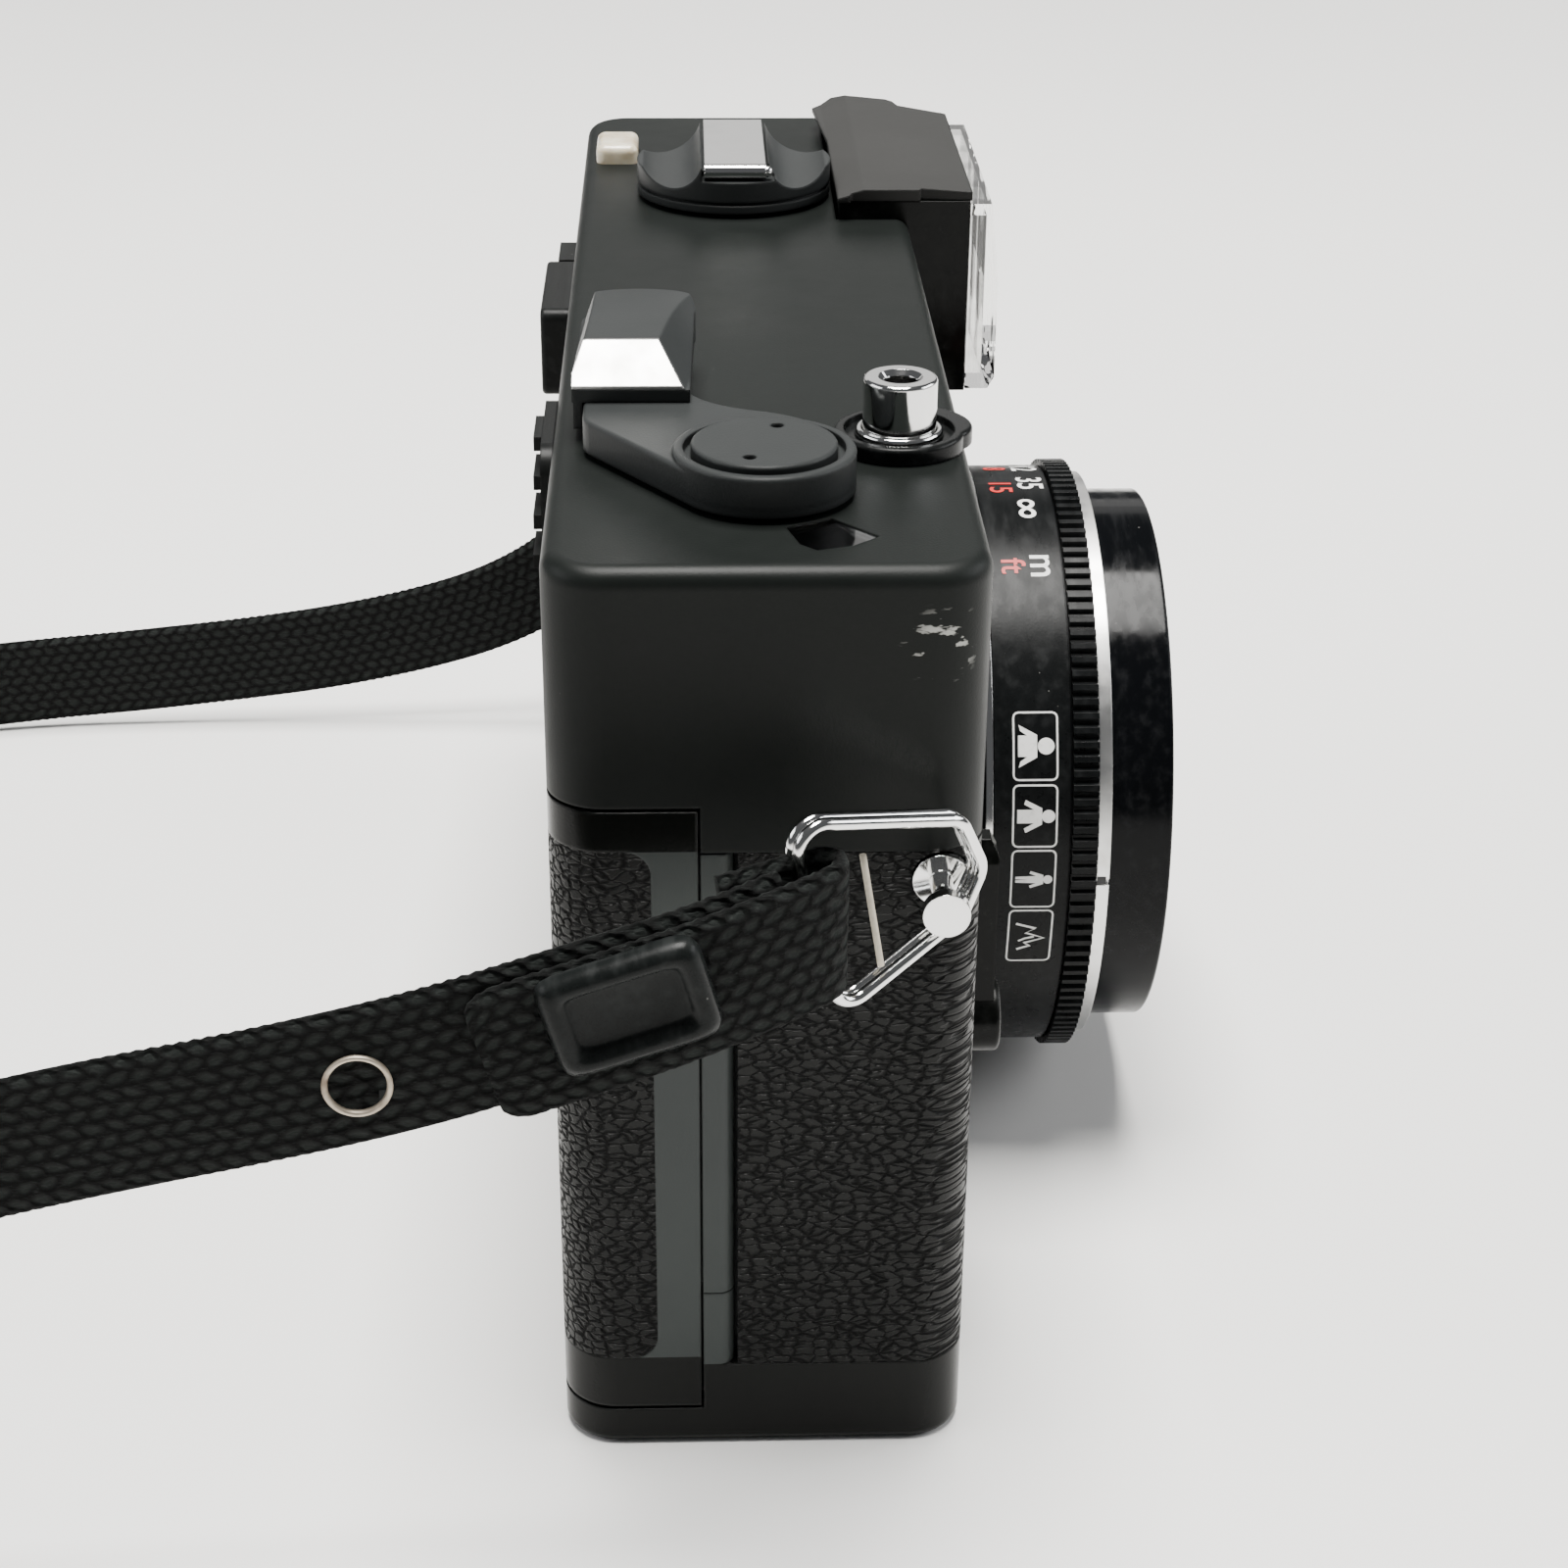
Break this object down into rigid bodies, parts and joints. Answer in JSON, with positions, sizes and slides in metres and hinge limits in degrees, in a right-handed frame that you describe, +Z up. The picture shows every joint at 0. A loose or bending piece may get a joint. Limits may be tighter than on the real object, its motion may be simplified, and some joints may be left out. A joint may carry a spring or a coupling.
{
  "type": "half frame camera",
  "caption": "Compact half-frame film camera with pop-up flash, opening back, film advance, focusing lens, tripod socket and webbing neck strap.",
  "frame": {"origin": "mouth of the tripod socket, in the middle of the base, on the surface the camera stands on", "axes": "+X towards the user's left (the flash end), -Y the way the lens looks, +Y towards the user, +Z up; -Z is the way a tripod screw leaves the socket"},
  "size_m": [0.1615, 0.2789, 0.0844],
  "materials": {
    "cover": "satin dark grey-black enamel, dusty",
    "gloss_black": "polished black",
    "satin_black": "fine satin black",
    "knurled_black": "satin black anodised, ribbed",
    "leatherette": "pebbled black leatherette",
    "casting": "blackened die-cast alloy",
    "door_strip": "grey-green satin",
    "chrome": "bright plated, lightly worn",
    "steel": "satin steel",
    "silver": "satin anodised",
    "brass_gear": "machined",
    "spool_plastic": "black moulded",
    "lens_glass": "coated optical glass",
    "flash_clear": "clear moulded window",
    "lamp_clear": "clear lamp lens",
    "reflector": "polished",
    "cell_jacket": "printed battery jacket",
    "capacitor_sleeve": "shrink sleeve",
    "dial_black": "matt black with white numbers",
    "webbing": "woven black nylon",
    "keeper_black": "moulded black"
  },
  "bodies": {
    "body": {"body_casting": "casting", "top_cover": "cover", "base_cover": "gloss_black", "front_leather": "leatherette", "film_gate": "steel", "hinge_pin": "steel", "counter_window": "flash_clear", "release_collar": "gloss_black", "flash_capacitor": "capacitor_sleeve", "ready_lamp": "lamp_clear", "battery_cells": "cell_jacket", "viewfinder_block": "satin_black", "viewfinder_window": "flash_clear", "eyepiece_frame": "satin_black", "eyepiece_lens": "lens_glass", "thumb_rest": "satin_black", "lens_barrel": "satin_black", "trim_ring": "chrome", "index_ring": "silver", "front_ring": "gloss_black", "rear_lens": "lens_glass", "shutter_housing": "satin_black", "tripod_socket": "chrome", "base_screws": "steel", "strap_lugs": "chrome", "strap_rings": "chrome", "strap_near": "webbing", "strap_coil": "webbing", "strap_far": "webbing", "strap_fittings": "keeper_black"},
    "door": {"back_door": "door_strip", "door_leather": "leatherette"},
    "pressure": {"pressure_plate": "satin_black"},
    "lever": {"advance_lever": "satin_black", "lever_tip": "satin_black", "lever_trim": "chrome", "lever_cap": "satin_black"},
    "transfer": {"transfer_gear": "brass_gear"},
    "spool": {"take_up_spool": "spool_plastic"},
    "sprocket": {"film_sprocket": "spool_plastic"},
    "counter": {"counter_dial": "dial_black"},
    "button": {"shutter_button": "chrome", "button_spring": "steel"},
    "rewind_stem": {"rewind_sleeve": "steel"},
    "rewind_turn": {"rewind_shaft": "steel", "rewind_knob": "satin_black"},
    "crank": {"rewind_crank": "chrome"},
    "flash": {"flash_housing": "gloss_black", "flash_cover": "satin_black", "flash_window": "flash_clear", "flash_reflector": "reflector", "flash_tube": "lens_glass"},
    "focus": {"focus_ring": "knurled_black"},
    "cell": {"lens_cell": "satin_black", "front_lens": "lens_glass"},
    "blade_near": {"shutter_blade_near": "steel"},
    "blade_far": {"shutter_blade_far": "steel"},
    "timer": {"self_timer_lever": "gloss_black"},
    "hatch": {"battery_hatch": "gloss_black"},
    "release": {"rewind_release": "chrome"}
  },
  "joints": [
    {"name": "door_hinge", "type": "hinge", "parent": "body", "child": "door", "pos_m": [-0.06475, 0.00365, 0.03], "axis": [0, 0, 1], "range_deg": [0, 90]},
    {"name": "pressure_float", "type": "slide", "parent": "door", "child": "pressure", "axis": [0, 1, 0], "range_m": [0, 0.0005], "stiffness_N_per_m": 400, "springref_m": -0.0005},
    {"name": "advance_stroke", "type": "hinge", "parent": "body", "child": "lever", "pos_m": [-0.0505, -0.0001, 0.078], "axis": [0, 0, 1], "range_deg": [0, 120], "stiffness_Nm_per_rad": 0.008, "springref_deg": -20.05},
    {"name": "transfer_turn", "type": "hinge", "parent": "body", "child": "transfer", "pos_m": [-0.04186, -0.00263, 0.06], "axis": [0, 0, 1], "range_deg": [-245, 5]},
    {"name": "spool_turn", "type": "hinge", "parent": "body", "child": "spool", "pos_m": [-0.0383, 0.0034, 0.03], "axis": [0, 0, 1], "range_deg": [-5, 185]},
    {"name": "sprocket_turn", "type": "hinge", "parent": "body", "child": "sprocket", "pos_m": [-0.0242, 0.0046, 0.03], "axis": [0, 0, 1], "range_deg": [-5, 185]},
    {"name": "counter_step", "type": "hinge", "parent": "body", "child": "counter", "pos_m": [-0.0505, -0.0001, 0.0722], "axis": [0, 0, 1], "range_deg": [-1, 6]},
    {"name": "shutter_press", "type": "slide", "parent": "body", "child": "button", "axis": [0, 0, -1], "range_m": [0, 0.002], "stiffness_N_per_m": 500, "springref_m": -0.001, "deforming": ["button_spring"]},
    {"name": "rewind_lift", "type": "slide", "parent": "body", "child": "rewind_stem", "axis": [0, 0, 1], "range_m": [0, 0.009]},
    {"name": "rewind_spin", "type": "hinge", "parent": "rewind_stem", "child": "rewind_turn", "pos_m": [0.0334, 0.0008, 0.079], "axis": [0, 0, 1], "continuous": true},
    {"name": "crank_flip", "type": "hinge", "parent": "rewind_turn", "child": "crank", "pos_m": [0.0249, 0.0008, 0.08175], "axis": [0, -1, 0], "range_deg": [0, 165]},
    {"name": "flash_popup", "type": "slide", "parent": "body", "child": "flash", "axis": [0, 0, 1], "range_m": [0, 0.0175]},
    {"name": "focus_turn", "type": "hinge", "parent": "body", "child": "focus", "pos_m": [0, -0.025, 0.0306], "axis": [0, 1, 0], "range_deg": [-27, 13]},
    {"name": "focus_travel", "type": "slide", "parent": "body", "child": "cell", "axis": [0, 1, 0], "range_m": [-0.0006, 0.0006]},
    {"name": "blade_near_swing", "type": "hinge", "parent": "body", "child": "blade_near", "pos_m": [-0.005, -0.0125, 0.0436], "axis": [0, 1, 0], "range_deg": [0, 40]},
    {"name": "blade_far_swing", "type": "hinge", "parent": "body", "child": "blade_far", "pos_m": [0.005, -0.0117, 0.0436], "axis": [0, 1, 0], "range_deg": [-41, 1]},
    {"name": "timer_swing", "type": "hinge", "parent": "body", "child": "timer", "pos_m": [-0.045, -0.018, 0.028], "axis": [0, -1, 0], "range_deg": [0, 90]},
    {"name": "hatch_swing", "type": "hinge", "parent": "body", "child": "hatch", "pos_m": [-0.0489, 0, 0.00068], "axis": [0, -1, 0], "range_deg": [0, 95]},
    {"name": "release_press", "type": "slide", "parent": "body", "child": "release", "axis": [0, 0, 1], "range_m": [0, 0.0012], "stiffness_N_per_m": 300, "springref_m": -0.001}
  ],
  "couplings": [
    {"joint": "transfer_turn", "follows": "advance_stroke", "ratio": -2},
    {"joint": "spool_turn", "follows": "advance_stroke", "ratio": 1.5},
    {"joint": "sprocket_turn", "follows": "advance_stroke", "ratio": 1.5},
    {"joint": "counter_step", "follows": "advance_stroke", "ratio": 0.041667},
    {"joint": "focus_travel", "follows": "focus_turn", "m_per_rad": 0.0011},
    {"joint": "blade_far_swing", "follows": "blade_near_swing", "ratio": -1}
  ]
}
